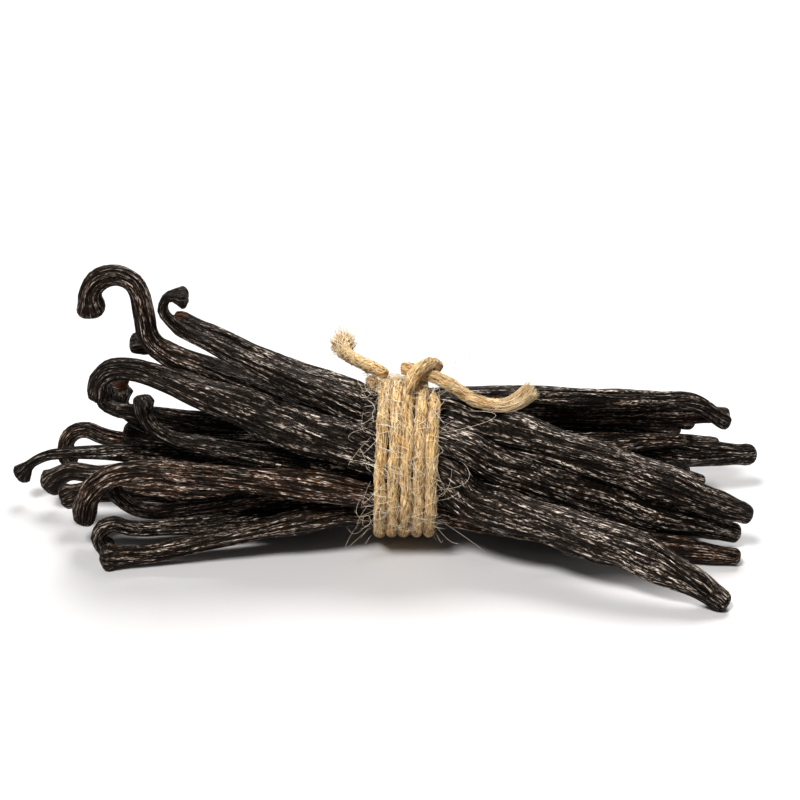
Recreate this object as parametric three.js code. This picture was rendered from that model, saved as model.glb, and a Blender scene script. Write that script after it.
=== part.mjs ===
// A bundle of cured vanilla pods, tied round its middle with five turns of jute twine.
// Millimetres, +Z up. +X runs along the bundle from the hooked stem ends to the blunt tips.
// The bundle lies on its lowest pods, and the origin is under the middle of its box.
import * as THREE from 'three';

// ---- Driving dimensions -------------------------------------------------------------------

// The tie: a waist that squeezes the pods, wound with twine.
const TIE_X = 0.6;
const TIE_HEIGHT = 19.2;
const TIE_RADIUS = 15.6;
const TIE_HALF_WIDTH = 8.7;
const STEM_TWIST = THREE.MathUtils.degToRad(15);
const TIP_TWIST = THREE.MathUtils.degToRad(24);
const TWINE_RADIUS = 1.25;
const TWINE_TURNS = 5;
const TWINE_PITCH = 2.85;
const TWINE_SIDES = 8;
const STEPS_PER_TURN = 16;

// The pods: a knob at the stem end, a slow taper to both ends, and an oval section that the tie
// squeezes flatter.
const POD_SIDES = 9;
const SQUEEZED_SHARE = 0.9;
const SQUEEZED_THIN = 2.4;
const CORE_HALF = 2.8;
const KNOB = 0.8;
const KNOB_LENGTH = 3.5;
const TIP_SHARE = 0.52;
const FLATNESS = 0.74;
const FLATTENING_LENGTH = 25;
const STEM_DOME = 0.3;
const TIP_DOME = 0.4;
const STEM_TAPER = 60;
const TIP_TAPER = 22;
const SLIMMING_LENGTH = 25;
const WAIST_BLEND = 8;
const WAIST_PLACES = [-17, -12.6, -8.8, -4.4, 0, 4.4, 8.8, 12.6, 17];
const STEM_FLARE = 0.8;
const TIP_FLARE = 0.4;
const FLARE_LENGTH = 14;
const BODY_STEP = 10.5;
const HOOK_STEP = 3.1;

// How close things lie, and how the pods settle: the gap between them, the depth of the flat spots
// they rest on, the rounds of settling with how many of them are firm, the springiness at the
// start, how much of a shift is kept each round, and the distance beyond which pods can't touch.
const GAP = 0.34;
const RESTING_SPOT = 0.28;
const SETTLE_ROUNDS = 500;
const FIRM_ROUNDS = 90;
const START_STIFFNESS = 0.8;
const SHIFT_KEPT = 0.998;
const TOUCHING_REACH = 24;
const PARALLEL = 1e-6;
const FINE = 1e-6;

// Rings of pods in the tie, from the middle out.
const CORE = 2.9;
const INNER = 8;
const OUTER = 13.3;

// Ways a stem can bend.
const UP = new THREE.Vector3(0, 0, 1);
const DOWN = new THREE.Vector3(0, 0, -1);
const INWARD = new THREE.Vector3(1, 0, 0);
const OUTWARD = new THREE.Vector3(-1, 0, 0);

// Each pod: its place in the tie (ring and angle in degrees, 0 at the front, 90 on top), where
// its body ends at the stem, how the stem bends from there as [length, degrees, way], where its
// tip ends, how the last stretch of the tip bends, its half widths at the neck and where it is
// widest, how slim it is towards the tip, and the angle that its flat side looks at where that
// isn't straight out.
const PODS = [
  { name: 'pod_01', ring: OUTER, angle: 19, slim: 0.86, half: 5.4, neck: 2.3, stem: [-56, 1, 41.3],
    bends: [[9, 24, DOWN], [8, 74, DOWN]], tip: [52, -30.2, 9.2], tipBend: [23.5, 24, DOWN] },
  { name: 'pod_02', ring: OUTER, angle: 48, half: 4.2, neck: 1.1, stem: [-51.8, -3, 53.2],
    bends: [[5, 50, UP], [5.6, 110, INWARD]], tip: [77, -9, 3] },
  { name: 'pod_03', ring: OUTER, angle: 87, face: 52, half: 4.4, neck: 2.5, stem: [-45, 8, 46.6],
    bends: [[7, 6, UP]], tip: [78, -13.5, 7] },
  { name: 'pod_04', ring: 12.2, angle: 134, half: 3.2, neck: 2.1, stem: [-48, 17, 34.3],
    bends: [[10, 8, UP], [5, 25, DOWN]], tip: [70, 15, 24.4], tipBend: [10, 45, DOWN] },
  { name: 'pod_05', ring: OUTER, angle: 166, half: 3.6, neck: 1.8, stem: [-64, 26, 15.5],
    bends: [[9, 80, UP]], tip: [72, 27, 14] },
  { name: 'pod_06', ring: CORE, angle: 130, half: 4.2, neck: 1.7, stem: [-65, 15, 22],
    bends: [[5, 8, UP], [11, 170, UP]], tip: [86, 17, 11.3] },
  { name: 'pod_07', ring: OUTER, angle: 198, slim: 0.8, half: 3.6, neck: 1.9, stem: [-68, 22, 12],
    bends: [[9, 22, UP], [12, 125, DOWN]], tip: [70, 38, 8] },
  { name: 'pod_08', ring: OUTER, angle: 234, slim: 0.85, half: 3.7, neck: 2.2, stem: [-54, 29, 5],
    bends: [[8, 12, UP], [7, 40, DOWN]], tip: [66, 42, 4] },
  { name: 'pod_09', ring: CORE, angle: 250, slim: 0.8, half: 3.6, neck: 2.3, stem: [-70, 8, 9.5],
    bends: [[8, 10, UP], [7, 45, DOWN]], tip: [70, 31, 5] },
  { name: 'pod_10', ring: OUTER, angle: 270, slim: 0.8, half: 3.6, neck: 1.7, stem: [-63, -9, 4.5],
    bends: [[4, 10, UP], [9, 125, DOWN]], tip: [72, 25, 3] },
  { name: 'pod_11', ring: OUTER, angle: 304, slim: 0.72, half: 3.9, neck: 2.2, stem: [-55, -17, 3.5],
    bends: [[11, 12, UP]], tip: [72, 6, 3] },
  { name: 'pod_12', ring: OUTER, angle: 339, slim: 0.8, half: 4.4, neck: 2.5, stem: [-56, -10, 20.8],
    bends: [[10, 25, DOWN], [13, 62, DOWN]], tip: [77, -17.5, 2.6] },
  { name: 'pod_13', ring: INNER, angle: 70, slim: 0.78, half: 3.5, neck: 2.3, stem: [-54, 2, 43.7],
    bends: [[9.5, 66, UP], [8.6, 8, OUTWARD], [17, 170, OUTWARD]], tip: [66, 14, 15] },
  { name: 'pod_14', ring: INNER, angle: 134, half: 3.5, neck: 2.2, stem: [-46, 25, 28],
    bends: [[8, 10, DOWN]], tip: [79, 20, 19.5] },
  { name: 'pod_15', ring: INNER, angle: 0, slim: 0.7, half: 3.9, neck: 1.7, stem: [-53.4, 4, 23.7],
    bends: [[11, 75, UP]], tip: [70, 3, 6] },
  { name: 'pod_16', ring: INNER, angle: 180, slim: 0.85, half: 3.5, neck: 1.2, stem: [-73, 13, 14.5],
    bends: [[12, 8, DOWN], [9, 40, DOWN]], tip: [78, 28, 10] },
  { name: 'pod_17', ring: INNER, angle: 240, slim: 0.78, half: 3.6, neck: 2.4, stem: [-70, 1, 11.5],
    bends: [[8, 20, DOWN]], tip: [64, 16, 3] },
  { name: 'pod_18', ring: INNER, angle: 300, slim: 0.7, half: 3.8, neck: 1.9, stem: [-58, -5, 6.6],
    bends: [[12, 75, UP]], tip: [70, -3, 3] },
  { name: 'pod_19', ring: CORE, angle: 10, slim: 0.85, half: 3.4, neck: 2.1, stem: [-56, 12, 17],
    bends: [[8, 20, UP]], tip: [68, 9, 9.5], tipBend: [5, 30, DOWN] },
];

// The knot: a bight that arches over the start of the right tail.
const KNOT_RADIUS = 1.15;
const KNOT_STEPS = 12;
const KNOT_ROUTE = [
  [1.6, -6.2, 38.4], [2.4, -4.4, 40.0], [3.6, -2.4, 41.5], [5.2, -0.4, 42.4], [6.9, 1.7, 42.1],
  [8.3, 3.8, 40.6], [8.8, 6.4, 38.4],
];

// The two tails, as they stick out of the tie.
const TAIL_STEPS = 11;
const TWINE_DOME = 0.3;
const LEFT_TAIL_ROUTE = [
  [-3.2, 2.2, 38.9], [-6.4, 5.4, 39.2], [-9.2, 9.6, 38.9], [-11.4, 14.4, 38.1],
  [-12.8, 19.4, 37.0], [-13.6, 24.4, 35.8], [-13.9, 29.2, 34.6],
];
const RIGHT_TAIL_ROUTE = [
  [0.2, 4.6, 39.6], [4.0, 2.2, 39.8], [7.9, -0.2, 39.5], [11.6, -2.3, 38.4], [15.4, -4.0, 36.5],
  [19.2, -4.9, 35.2], [22.8, -5.3, 34.9], [26.2, -5.1, 35.7], [29.8, -4.6, 37.9],
];

// ---- Pods -----------------------------------------------------------------------------------

const { lerp } = THREE.MathUtils;
const smooth = (t) => THREE.MathUtils.smoothstep(t, 0, 1);

// A point in the tie at an angle, 0 at the front and 90 degrees on top.
function aroundTie(x, ring, angle) {
  return new THREE.Vector3(x, -ring * Math.cos(angle), TIE_HEIGHT + ring * Math.sin(angle));
}

// Points along a run of bends, starting at a point in a direction.
function bendPoints(start, direction, bends) {
  const points = [];
  const place = start.clone();
  const heading = direction.clone().normalize();
  for (const [length, degrees, way] of bends) {
    const steps = Math.max(1, Math.round(length / HOOK_STEP));
    const axis = heading.clone().cross(way).normalize();
    for (let i = 0; i < steps; i++) {
      heading.applyAxisAngle(axis, THREE.MathUtils.degToRad(degrees) / steps);
      place.addScaledVector(heading, length / steps);
      points.push(place.clone());
    }
  }
  return points;
}

// The smooth line of one pod, from its stem end through its place in the tie to its tip.
function podRoute(pod) {
  const angle = THREE.MathUtils.degToRad(pod.angle);
  const enter = aroundTie(TIE_X - TIE_HALF_WIDTH, pod.ring, angle + STEM_TWIST);
  const middle = aroundTie(TIE_X, pod.ring, angle);
  const leave = aroundTie(TIE_X + TIE_HALF_WIDTH, pod.ring, angle - TIP_TWIST);
  const stem = new THREE.Vector3(...pod.stem);
  const tip = new THREE.Vector3(...pod.tip);
  const hook = bendPoints(stem, stem.clone().sub(enter), pod.bends).reverse();
  const tipHook = pod.tipBend ? bendPoints(tip, tip.clone().sub(leave), [pod.tipBend]) : [];
  return {
    curve: new THREE.CatmullRomCurve3([...hook, stem, enter, middle, leave, tip, ...tipHook]),
    hookLength: pod.bends.reduce((sum, bend) => sum + bend[0], 0),
  };
}

// How free of the tie's squeeze a pod is at a place along the bundle: 0 in the tie, 1 clear of it.
const clearOfTie = (x) => smooth((Math.abs(x - TIE_X) - TIE_HALF_WIDTH) / WAIST_BLEND);

// The half axes of a pod's oval section at a distance from its stem end.
function sectionHalves(pod, distance, hookLength, length, x) {
  const knob = KNOB * smooth(1 - distance / KNOB_LENGTH);
  const stemward = lerp(pod.neck, pod.half, smooth(distance / (STEM_TAPER + hookLength / 2)));
  const tipward = lerp(TIP_SHARE * pod.half, pod.half, smooth((length - distance) / TIP_TAPER));
  const slimmed = lerp(1, pod.slim ?? 1, smooth((x - TIE_X) / SLIMMING_LENGTH));
  const free = Math.min(stemward, tipward) * slimmed + knob;
  const inside = Math.min(distance, length - distance);
  const flat = lerp(1, FLATNESS, smooth(inside / FLATTENING_LENGTH));
  const squeezed = pod.ring === CORE
    ? { a: CORE_HALF, b: CORE_HALF }
    : { a: SQUEEZED_SHARE * pod.half, b: SQUEEZED_THIN };
  const clear = clearOfTie(x);
  return {
    a: lerp(squeezed.a, free, clear),
    b: lerp(squeezed.b, free * flat, clear),
  };
}

// Distances from one to another in even steps, without the last.
function evenSteps(from, to, step) {
  const count = Math.max(1, Math.round((to - from) / step));
  return Array.from({ length: count }, (_, i) => from + ((to - from) * i) / count);
}

// The distance along a pod at which it passes a place along the bundle.
function distanceAt(curve, x, length, hookLength) {
  let [low, high] = [hookLength / length, 1];
  while (high - low > FINE) {
    const half = (low + high) / 2;
    if (curve.getPointAt(half).x < x) low = half;
    else high = half;
  }
  return low * length;
}

// Distances of the stations along a pod: close in the hook and at the waist, wide elsewhere.
function stationDistances(curve, length, hookLength) {
  const waist = WAIST_PLACES.map((x) => distanceAt(curve, TIE_X + x, length, hookLength));
  return [
    ...evenSteps(0, hookLength, HOOK_STEP),
    ...evenSteps(hookLength, waist[0], BODY_STEP),
    ...waist.slice(0, -1),
    ...evenSteps(waist.at(-1), length, BODY_STEP),
    length,
  ];
}

// A pod as stations along its line, each with a place, a home place and the section's half axes.
function layPod(pod) {
  const { curve, hookLength } = podRoute(pod);
  const length = curve.getLength();
  const stations = stationDistances(curve, length, hookLength).map((distance) => {
    const home = curve.getPointAt(distance / length);
    const halves = sectionHalves(pod, distance, hookLength, length, home.x);
    return { home, place: home.clone(), ...halves };
  });
  const laid = { name: pod.name, face: pod.face, stations };
  turnSections(laid);
  return laid;
}

// A piece of twine as stations that don't move.
function layTwine(route, radius) {
  const stations = route.map((point) => {
    const home = new THREE.Vector3(...point);
    return { home, place: home.clone(), a: radius, b: radius };
  });
  const laid = { stations, fixed: true };
  turnSections(laid);
  return laid;
}

// Which way the flat side looks in the tie: away from the middle, unless the pod is turned.
function facing(line, place) {
  if (line.face === undefined) return new THREE.Vector3(0, place.y, place.z - TIE_HEIGHT);
  const face = THREE.MathUtils.degToRad(line.face);
  return new THREE.Vector3(0, -Math.cos(face), Math.sin(face));
}

// Carry the section's axes along a line from the tie both ways, without twisting them.
function turnSections(line) {
  const { stations } = line;
  const last = stations.length - 1;
  stations.forEach((station, i) => {
    const before = stations[Math.max(i - 1, 0)].place;
    const after = stations[Math.min(i + 1, last)].place;
    station.along = after.clone().sub(before).normalize();
  });
  let middle = 0;
  stations.forEach((station, i) => {
    if (Math.abs(station.place.x - TIE_X) < Math.abs(stations[middle].place.x - TIE_X)) middle = i;
  });
  const outward = facing(line, stations[middle].place);
  const carry = (from, station) => {
    station.out = from.clone().addScaledVector(station.along, -from.dot(station.along)).normalize();
    station.across = station.out.clone().cross(station.along);
  };
  carry(outward, stations[middle]);
  for (let i = middle + 1; i <= last; i++) carry(stations[i - 1].out, stations[i]);
  for (let i = middle - 1; i >= 0; i--) carry(stations[i + 1].out, stations[i]);
}

// How far the oval section reaches in a direction.
function reach(station, direction) {
  const { a, b, across, out } = station;
  return Math.hypot(a * direction.dot(across), b * direction.dot(out));
}

// The corners of a station's section.
function sectionCorners(station) {
  return Array.from({ length: POD_SIDES }, (_, k) => {
    const turn = (2 * Math.PI * k) / POD_SIDES;
    return station.place.clone()
      .addScaledVector(station.across, station.a * Math.cos(turn))
      .addScaledVector(station.out, station.b * Math.sin(turn));
  });
}

// ---- Settling the bundle ----------------------------------------------------------------------

const clampUnit = (t) => Math.min(1, Math.max(0, t));

// The nearest points of two straight stretches, as fractions along each.
function nearestFractions(p, q, r, s) {
  const u = q.clone().sub(p);
  const v = s.clone().sub(r);
  const w = p.clone().sub(r);
  const uu = u.dot(u);
  const uv = u.dot(v);
  const vv = v.dot(v);
  const uw = u.dot(w);
  const vw = v.dot(w);
  const spread = uu * vv - uv * uv;
  let f = spread > PARALLEL ? clampUnit((uv * vw - vv * uw) / spread) : 0.5;
  const g = clampUnit((uv * f + vw) / vv);
  f = clampUnit((uv * g - uw) / uu);
  return [f, g];
}

// Push two pods apart wherever they are closer than their sections and the gap allow.
function pushApart(first, second) {
  for (let i = 0; i + 1 < first.stations.length; i++) {
    const [a0, a1] = [first.stations[i], first.stations[i + 1]];
    for (let j = 0; j + 1 < second.stations.length; j++) {
      const [b0, b1] = [second.stations[j], second.stations[j + 1]];
      if (a0.place.distanceTo(b0.place) > TOUCHING_REACH) continue;
      const [f, g] = nearestFractions(a0.place, a1.place, b0.place, b1.place);
      const away = b0.place.clone().lerp(b1.place, g)
        .sub(a0.place.clone().lerp(a1.place, f));
      const distance = away.length();
      away.divideScalar(distance || 1);
      const need = lerp(reach(a0, away), reach(a1, away), f)
        + lerp(reach(b0, away), reach(b1, away), g) + GAP;
      if (distance >= need) continue;
      const push = (need - distance) / 2;
      a0.place.addScaledVector(away, -push * (1 - f));
      a1.place.addScaledVector(away, -push * f);
      b0.place.addScaledVector(away, push * (1 - g));
      b1.place.addScaledVector(away, push * g);
    }
  }
}

// Keep each section inside the tie's waist and above the surface that the bundle lies on.
function holdInPlace(line) {
  for (const station of line.stations) {
    const { place } = station;
    if (line.fixed) {
      place.copy(station.home);
      continue;
    }
    const inward = new THREE.Vector3(0, -place.y, TIE_HEIGHT - place.z).normalize();
    const corners = sectionCorners(station);
    const farthest = Math.max(...corners.map(({ y, z }) => Math.hypot(y, z - TIE_HEIGHT)));
    const flare = place.x < TIE_X ? STEM_FLARE : TIP_FLARE;
    const beyond = Math.max(0, Math.abs(place.x - TIE_X) - TIE_HALF_WIDTH);
    const room = TIE_RADIUS + flare * beyond;
    if (beyond < FLARE_LENGTH && farthest > room) place.addScaledVector(inward, farthest - room);
    const lowest = Math.min(...corners.map(({ z }) => z));
    if (lowest < -RESTING_SPOT) place.z -= lowest + RESTING_SPOT;
  }
}

// A pod is springy: spread each shift along it, and draw it gently back to its own shape.
function springBack(pod, stiffness) {
  const shifts = pod.stations.map(({ place, home }) => place.clone().sub(home));
  pod.stations.forEach((station, i) => {
    const before = shifts[Math.max(i - 1, 0)];
    const after = shifts[Math.min(i + 1, shifts.length - 1)];
    const even = before.clone().add(after).multiplyScalar(0.5);
    const shift = shifts[i].clone().lerp(even, stiffness).multiplyScalar(SHIFT_KEPT);
    station.place.copy(station.home).add(shift);
  });
}

// Settle the pods against each other and against the twine that stays where it lies. They are
// stiff at first and give way more and more, until nothing overlaps.
function settle(pods, twine) {
  const lines = [...pods, ...twine];
  for (let round = 0; round < SETTLE_ROUNDS; round++) {
    const stiffness = START_STIFFNESS * (1 - round / (SETTLE_ROUNDS - FIRM_ROUNDS));
    if (stiffness > 0) pods.forEach((pod) => springBack(pod, stiffness));
    pods.forEach((pod, i) => lines.slice(i + 1).forEach((other) => pushApart(pod, other)));
    lines.forEach(holdInPlace);
    pods.forEach(turnSections);
  }
}

// ---- Meshes -----------------------------------------------------------------------------------

// A closed solid from rings of corners, with a point beyond each end.
function ringSolid(rings, startPoint, endPoint) {
  const sides = rings[0].length;
  const corners = [startPoint, ...rings.flat(), endPoint];
  const at = (ring, k) => 1 + ring * sides + (k % sides);
  const faces = [];
  for (let k = 0; k < sides; k++) {
    faces.push(0, at(0, k + 1), at(0, k));
    for (let ring = 0; ring + 1 < rings.length; ring++) {
      faces.push(at(ring, k), at(ring, k + 1), at(ring + 1, k + 1));
      faces.push(at(ring, k), at(ring + 1, k + 1), at(ring + 1, k));
    }
    faces.push(corners.length - 1, at(rings.length - 1, k), at(rings.length - 1, k + 1));
  }
  const geometry = new THREE.BufferGeometry();
  const positions = corners.flatMap((corner) => corner.toArray());
  geometry.setAttribute('position', new THREE.Float32BufferAttribute(positions, 3));
  geometry.setIndex(faces);
  geometry.computeVertexNormals();
  return geometry;
}

function podGeometry(pod) {
  const { stations } = pod;
  const rings = stations.map(sectionCorners);
  rings.flat().forEach((corner) => {
    corner.z = Math.max(corner.z, 0);
  });
  const [first, last] = [stations[0], stations.at(-1)];
  return ringSolid(
    rings,
    first.place.clone().addScaledVector(first.along, -STEM_DOME * first.a),
    last.place.clone().addScaledVector(last.along, TIP_DOME * last.a),
  );
}

// A length of twine along a curve, closed at both ends.
function twineGeometry(curve, radius, steps) {
  const frames = curve.computeFrenetFrames(steps, false);
  const rings = Array.from({ length: steps + 1 }, (_, i) => {
    const centre = curve.getPointAt(i / steps);
    return Array.from({ length: TWINE_SIDES }, (_, k) => {
      const turn = (2 * Math.PI * k) / TWINE_SIDES;
      return centre.clone()
        .addScaledVector(frames.normals[i], radius * Math.cos(turn))
        .addScaledVector(frames.binormals[i], radius * Math.sin(turn));
    });
  });
  const dome = TWINE_DOME * radius;
  const start = curve.getPointAt(0).addScaledVector(frames.tangents[0], -dome);
  const end = curve.getPointAt(1).addScaledVector(frames.tangents[steps], dome);
  return ringSolid(rings, start, end);
}

// The turns of twine: a helix from the top on the right, down the front, to the top on the left.
// Its corners lie a little out, so that its straight steps clear the pods too.
class WrapCurve extends THREE.Curve {
  getPoint(t) {
    const x = TIE_X + TWINE_PITCH * TWINE_TURNS * (0.5 - t);
    const angle = Math.PI / 2 - t * TWINE_TURNS * 2 * Math.PI;
    const ring = (TIE_RADIUS + GAP + TWINE_RADIUS) / Math.cos(Math.PI / STEPS_PER_TURN);
    return aroundTie(x, ring, angle);
  }
}

function routeCurve(route) {
  return new THREE.CatmullRomCurve3(route.map((point) => new THREE.Vector3(...point)));
}

const podSkin = () => new THREE.MeshStandardMaterial({ color: '#1d1512', roughness: 0.42 });
const jute = () => new THREE.MeshStandardMaterial({ color: '#c89b5e', roughness: 0.9 });

function addMesh(group, name, geometry, material) {
  const mesh = new THREE.Mesh(geometry, material);
  mesh.name = name;
  group.add(mesh);
}

function addTwine(group, name, curve, radius, steps) {
  addMesh(group, name, twineGeometry(curve, radius, steps), jute());
}

const bundle = new THREE.Group();
const pods = PODS.map(layPod);
settle(pods, [
  layTwine(KNOT_ROUTE, KNOT_RADIUS),
  layTwine(LEFT_TAIL_ROUTE, TWINE_RADIUS),
  layTwine(RIGHT_TAIL_ROUTE, TWINE_RADIUS),
]);
for (const pod of pods) addMesh(bundle, pod.name, podGeometry(pod), podSkin());
addTwine(bundle, 'twine_wraps', new WrapCurve(), TWINE_RADIUS, TWINE_TURNS * STEPS_PER_TURN);
addTwine(bundle, 'twine_knot', routeCurve(KNOT_ROUTE), KNOT_RADIUS, KNOT_STEPS);

// Stand the tied bundle over the origin; the free tails don't count towards its box.
const box = new THREE.Box3().setFromObject(bundle);
const middle = box.getCenter(new THREE.Vector3());
bundle.position.set(-middle.x, -middle.y, -box.min.z);

addTwine(bundle, 'twine_tail_left', routeCurve(LEFT_TAIL_ROUTE), TWINE_RADIUS, TAIL_STEPS);
addTwine(bundle, 'twine_tail_right', routeCurve(RIGHT_TAIL_ROUTE), TWINE_RADIUS, TAIL_STEPS);

export default bundle;
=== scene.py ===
"""A bundle of cured vanilla pods, tied round its middle with jute twine.

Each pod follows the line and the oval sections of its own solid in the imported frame, with the
furrows, lumps and rough ends that dried pods have. The twine is laid up from three plies along
its solids, with its surface fibres and the loose ones that stand off it. Lengths inside the
classes are in millimetres, and the meshes are in metres.
"""

import logging
import math
from dataclasses import dataclass, field
from enum import Enum

import bmesh
import bpy
import numpy as np
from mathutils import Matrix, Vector

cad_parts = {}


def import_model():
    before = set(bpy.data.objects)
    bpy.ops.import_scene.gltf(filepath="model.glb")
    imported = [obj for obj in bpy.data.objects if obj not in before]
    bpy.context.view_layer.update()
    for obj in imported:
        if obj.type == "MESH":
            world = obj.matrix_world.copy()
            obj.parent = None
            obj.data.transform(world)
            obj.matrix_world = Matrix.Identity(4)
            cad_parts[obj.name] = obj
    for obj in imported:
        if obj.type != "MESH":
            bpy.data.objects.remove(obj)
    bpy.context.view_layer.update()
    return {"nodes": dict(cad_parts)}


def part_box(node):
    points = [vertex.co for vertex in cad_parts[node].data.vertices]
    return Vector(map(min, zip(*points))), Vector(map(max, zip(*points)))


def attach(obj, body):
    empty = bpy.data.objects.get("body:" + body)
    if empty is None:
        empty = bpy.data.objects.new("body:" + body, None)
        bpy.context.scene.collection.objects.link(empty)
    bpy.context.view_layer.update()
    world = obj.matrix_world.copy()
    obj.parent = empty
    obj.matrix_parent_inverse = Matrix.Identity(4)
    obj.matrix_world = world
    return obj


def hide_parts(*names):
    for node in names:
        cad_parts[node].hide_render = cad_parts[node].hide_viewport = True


MM = 0.001
BODY = "root"
POD_SLOT = "pod_skin"
TWINE_SLOT = "jute_twine"
SKIN_POINTS = "skin_mm"
STALK_SHARE = "stalk_share"
TORN_SHARE = "torn_share"
CREST_SHARE = "crest_share"
YARN_POINTS = "yarn_mm"
# Corners closer than these, in metres, are one: on the frame's solids, and on the fine skins.
SOLID_WELD = 1e-6
SKIN_WELD = 2e-8
# Directions that no twine and no hair runs along, to start its sections from.
OFF_TWINE = (0.31, 0.22, 0.92)
OFF_HAIR = (0.13, 0.57, 0.81)

log = logging.getLogger("vanilla_bundle")


# ---- Small helpers -----------------------------------------------------------------------------


def linear(hex_colour: str) -> tuple[float, float, float, float]:
    """Turn an sRGB hex colour into linear light.

    Args:
        hex_colour: The colour as "#rrggbb".

    Returns:
        Red, green, blue and an opacity of 1, as the shaders take them.
    """
    shares = [int(hex_colour[i : i + 2], 16) / 255 for i in (1, 3, 5)]
    lit = [s / 12.92 if s <= 0.04045 else ((s + 0.055) / 1.055) ** 2.4 for s in shares]
    return (*lit, 1.0)


def smooth_step(t: np.ndarray) -> np.ndarray:
    """Ease from 0 to 1 as t goes from 0 to 1, and stay there past both ends."""
    t = np.clip(t, 0, 1)
    return t * t * (3 - 2 * t)


def fade(distance: np.ndarray, reach: float) -> np.ndarray:
    """Fall from 1 at no distance to almost 0 at twice the reach, as a bell curve does."""
    return np.exp(-((distance / reach) ** 2))


def unit(vectors: np.ndarray) -> np.ndarray:
    """Scale vectors in the last axis to length one."""
    return vectors / np.maximum(np.linalg.norm(vectors, axis=-1, keepdims=True), 1e-9)


def smooth_between(knots: np.ndarray, values: np.ndarray, at: np.ndarray) -> np.ndarray:
    """Follow a smooth curve through values that stand at uneven knots.

    Args:
        knots: Rising places of the values.
        values: One row for each knot.
        at: Places to read.

    Returns:
        One row for each place.
    """
    slopes = np.gradient(values, knots, axis=0)
    i = np.clip(np.searchsorted(knots, at, side="right") - 1, 0, len(knots) - 2)
    span = (knots[i + 1] - knots[i])[:, None]
    t = (at - knots[i])[:, None] / span
    return (
        (2 * t**3 - 3 * t**2 + 1) * values[i]
        + (t**3 - 2 * t**2 + t) * span * slopes[i]
        + (3 * t**2 - 2 * t**3) * values[i + 1]
        + (t**3 - t**2) * span * slopes[i + 1]
    )


class NodeSheet:
    """The nodes of one material."""

    def __init__(self, name: str) -> None:
        """Start a material with no nodes.

        Args:
            name: The material's name.
        """
        self.material = bpy.data.materials.new(name)
        self.material.use_nodes = True
        self.tree = self.material.node_tree
        self.tree.nodes.clear()

    def add(
        self, kind: str, inputs: dict[int | str, object], out: int | str = 0, **settings: object
    ) -> bpy.types.NodeSocket | None:
        """Add a node with its settings, values and links.

        Args:
            kind: The node's type name, without the "ShaderNode" that each starts with.
            inputs: Socket name or index to a value, or to the output that feeds it.
            out: Which output to give back.
            settings: Properties of the node.

        Returns:
            The output, or None from a node that has none.
        """
        node = self.tree.nodes.new("ShaderNode" + kind)
        for name, value in settings.items():
            setattr(node, name, value)
        for socket, value in inputs.items():
            if isinstance(value, bpy.types.NodeSocket):
                self.tree.links.new(value, node.inputs[socket])
            else:
                node.inputs[socket].default_value = value
        return node.outputs[out] if node.outputs else None

    def finish(self, surface: dict[str, object]) -> bpy.types.Material:
        """End the material in one surface shader.

        Args:
            surface: The shader's inputs, as add takes them.

        Returns:
            The material.
        """
        self.add("OutputMaterial", {"Surface": self.add("BsdfPrincipled", surface)})
        return self.material


# ---- Lines and skins ---------------------------------------------------------------------------


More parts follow.
